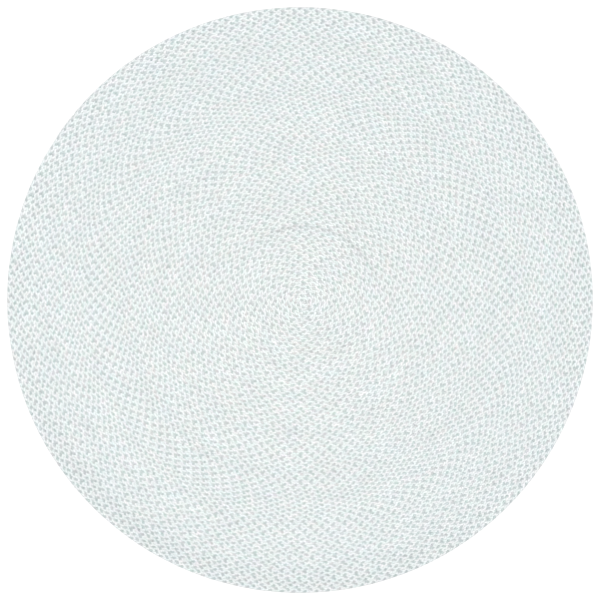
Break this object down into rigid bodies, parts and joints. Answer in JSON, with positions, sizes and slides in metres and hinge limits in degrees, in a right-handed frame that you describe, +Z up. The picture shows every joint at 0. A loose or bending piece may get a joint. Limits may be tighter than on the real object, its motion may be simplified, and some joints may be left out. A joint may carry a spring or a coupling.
{
  "type": "round braided rug",
  "caption": "Flat round rug made of one three-strand plait of ivory and pale aqua yarn, coiled from the middle and laced edge to edge.",
  "frame": {"origin": "centre of the rug's flat underside", "axes": "+Z up, out of the rug's upper face; +Y towards the picture's top edge"},
  "size_m": [1.8288, 1.8288, 0.009],
  "materials": {
    "ivory_yarn": "matte heathered ivory yarn",
    "aqua_yarn": "matte heathered pale aqua-grey yarn"
  },
  "bodies": {
    "root": {"braid_coil": "ivory_yarn"}
  },
  "joints": []
}
